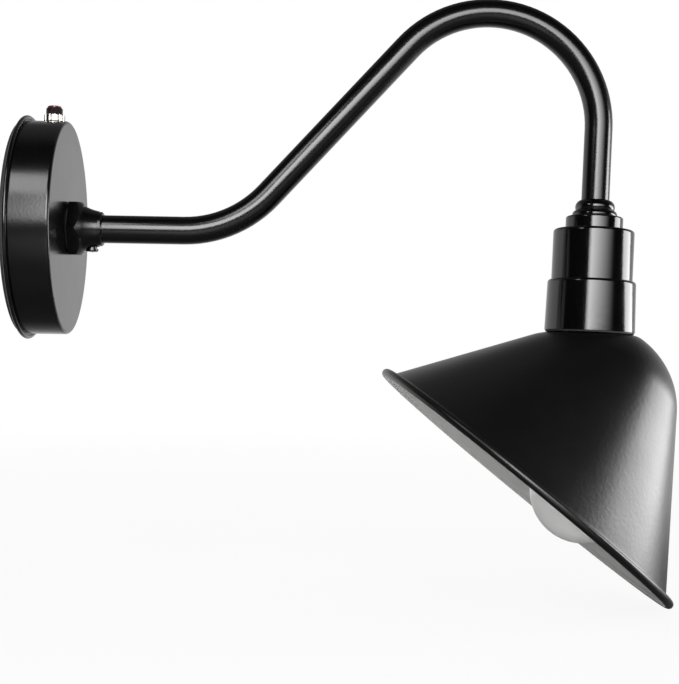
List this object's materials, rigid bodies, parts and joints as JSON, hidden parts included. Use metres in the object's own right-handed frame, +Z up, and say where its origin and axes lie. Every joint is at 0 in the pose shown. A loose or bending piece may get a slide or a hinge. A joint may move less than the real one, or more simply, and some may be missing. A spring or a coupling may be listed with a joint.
{
  "type": "gooseneck wall sconce",
  "caption": "Gooseneck wall sconce with a round canopy, a light sensor, a hub-mounted bent arm and an angled flared shade over a screw-in bulb.",
  "frame": {"origin": "on the wall plane, on the axis of the hub that carries the arm", "axes": "+X out of the wall along the hub, +Z up, +Y along the wall to the left of someone who faces the wall"},
  "size_m": [0.402, 0.2242, 0.3727],
  "materials": {
    "black_paint": "semi-gloss black enamel over spun steel",
    "black_gloss": "gloss black enamel on the cans and the neck",
    "plated_steel": "zinc-plated steel hardware",
    "nickel": "bright nickel plate",
    "sensor_black": "black moulded plastic",
    "sensor_window": "dark red tinted window",
    "rubber": "black rubber and foam",
    "porcelain": "white glazed porcelain",
    "brass": "plain brass",
    "cap_metal": "bright aluminium bulb cap",
    "black_glass": "black insulator of the bulb's cap",
    "pearl_glass": "pearly frosted glass",
    "clear_glass": "clear glass",
    "strip_yellow": "yellow phosphor coating",
    "support_wire": "plain drawn wire",
    "sheath": "black sheath",
    "wire_cover": "insulated wires, each its own colour in the scene",
    "connector_orange": "orange moulded plastic"
  },
  "bodies": {
    "base": {"wall_gasket": "rubber", "back_plate": "black_paint", "mounting_strap": "plated_steel", "strap_rivets": "plated_steel", "ground_screw": "plated_steel", "canopy_cup": "black_paint", "canopy_side_screws": "plated_steel", "sensor_body": "sensor_black", "sensor_lens": "sensor_window", "sensor_seal": "rubber", "sensor_nut": "nickel", "hub_seal": "rubber", "arm_hub": "black_paint", "hub_washer": "plated_steel", "hub_lock_nut": "plated_steel", "hub_set_screw": "black_paint", "canopy_lead": "sheath", "wire_connectors": "connector_orange", "canopy_wires": "wire_cover"},
    "arm": {"gooseneck_arm": "black_paint", "lamp_lead": "sheath", "neck_collar": "black_gloss", "cap_ring": "black_gloss", "upper_can": "black_gloss", "lower_can": "black_gloss", "nipple": "brass", "yoke_nut": "plated_steel", "lampholder_yoke": "plated_steel", "yoke_screws": "plated_steel", "lampholder": "porcelain", "screw_shell": "brass", "centre_contact": "brass", "can_seal": "rubber", "clamp_ring": "porcelain"},
    "shade": {"shade": "black_paint"},
    "bulb_carrier": {"bulb_contact": "brass", "bulb_insulator": "black_glass"},
    "bulb": {"bulb_cap": "cap_metal", "bulb_glass": "pearl_glass", "bulb_stem": "clear_glass", "light_strips": "strip_yellow", "support_wires": "support_wire"}
  },
  "joints": [
    {"name": "arm_swivel", "type": "hinge", "parent": "base", "child": "arm", "pos_m": [0, 0, 0], "axis": [1, 0, 0], "range_deg": [-90, 90]},
    {"name": "shade_turn", "type": "hinge", "parent": "arm", "child": "shade", "pos_m": [0.34903, 0, -0.0592], "axis": [0.0349, 0, 0.9994], "continuous": true},
    {"name": "bulb_travel", "type": "slide", "parent": "arm", "child": "bulb_carrier", "axis": [-0.0349, 0, -0.9994], "range_m": [0, 0.025]},
    {"name": "bulb_turn", "type": "hinge", "parent": "bulb_carrier", "child": "bulb", "pos_m": [0.34903, 0, -0.0592], "axis": [-0.0349, 0, -0.9994], "range_deg": [0, 2480]}
  ],
  "couplings": [
    {"joint": "bulb_turn", "follows": "bulb_travel", "rad_per_m": 1731.4}
  ]
}
